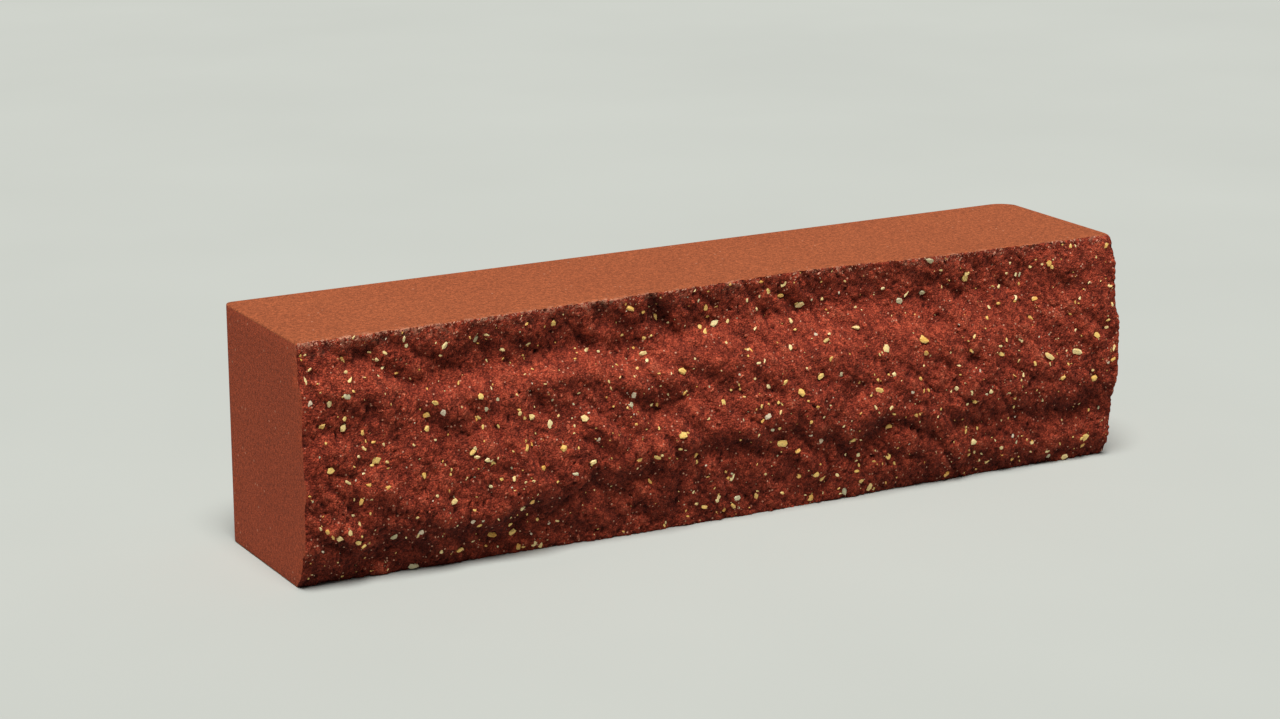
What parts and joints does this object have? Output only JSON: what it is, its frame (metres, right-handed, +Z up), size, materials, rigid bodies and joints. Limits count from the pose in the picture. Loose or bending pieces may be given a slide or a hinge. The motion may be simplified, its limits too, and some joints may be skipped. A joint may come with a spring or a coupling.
{
  "type": "split face brick",
  "caption": "Narrow pressed facing brick with one rough split long face set with crushed stone chips, and plain pressed bed, top, back and end faces.",
  "frame": {"origin": "centre of the bottom of the brick's box, on the plane of its bed", "axes": "+X along the brick's length to the right as its split face is seen, +Y from the split face to the pressed back face, +Z up from the bed to the top"},
  "size_m": [0.25, 0.056, 0.065],
  "materials": {
    "pressed_brick": "matt pressed face, rough where split",
    "ochre_stone": "matt broken stone",
    "cream_stone": "matt broken stone",
    "grey_stone": "matt broken stone",
    "white_stone": "matt broken stone"
  },
  "bodies": {
    "root": {"brick_body": "pressed_brick", "cream_chip_01": "cream_stone", "cream_chip_02": "cream_stone", "cream_chip_03": "cream_stone", "cream_chip_04": "cream_stone", "cream_chip_05": "cream_stone", "cream_chip_06": "cream_stone", "cream_chip_07": "cream_stone", "cream_chip_08": "cream_stone", "cream_chip_09": "cream_stone", "cream_chip_10": "cream_stone", "cream_chip_11": "cream_stone", "cream_chip_12": "cream_stone", "cream_chip_13": "cream_stone", "cream_chip_14": "cream_stone", "cream_chip_15": "cream_stone", "cream_chip_16": "cream_stone", "cream_chip_17": "cream_stone", "cream_chip_18": "cream_stone", "grey_chip_01": "grey_stone", "grey_chip_02": "grey_stone", "grey_chip_03": "grey_stone", "grey_chip_04": "grey_stone", "grey_chip_05": "grey_stone", "grey_chip_06": "grey_stone", "ochre_chip_01": "ochre_stone", "ochre_chip_02": "ochre_stone", "ochre_chip_03": "ochre_stone", "ochre_chip_04": "ochre_stone", "ochre_chip_05": "ochre_stone", "ochre_chip_06": "ochre_stone", "ochre_chip_07": "ochre_stone", "ochre_chip_08": "ochre_stone", "ochre_chip_09": "ochre_stone", "ochre_chip_10": "ochre_stone", "ochre_chip_11": "ochre_stone", "ochre_chip_12": "ochre_stone", "ochre_chip_13": "ochre_stone", "ochre_chip_14": "ochre_stone", "ochre_chip_15": "ochre_stone", "ochre_chip_16": "ochre_stone", "ochre_chip_17": "ochre_stone", "ochre_chip_18": "ochre_stone", "ochre_chip_19": "ochre_stone", "ochre_chip_20": "ochre_stone", "ochre_chip_21": "ochre_stone", "ochre_chip_22": "ochre_stone", "ochre_chip_23": "ochre_stone", "ochre_chip_24": "ochre_stone", "ochre_chip_25": "ochre_stone", "ochre_chip_26": "ochre_stone", "ochre_chip_27": "ochre_stone", "ochre_chip_28": "ochre_stone", "ochre_chip_29": "ochre_stone", "ochre_chip_30": "ochre_stone", "white_chip_01": "white_stone", "white_chip_02": "white_stone"}
  },
  "joints": []
}
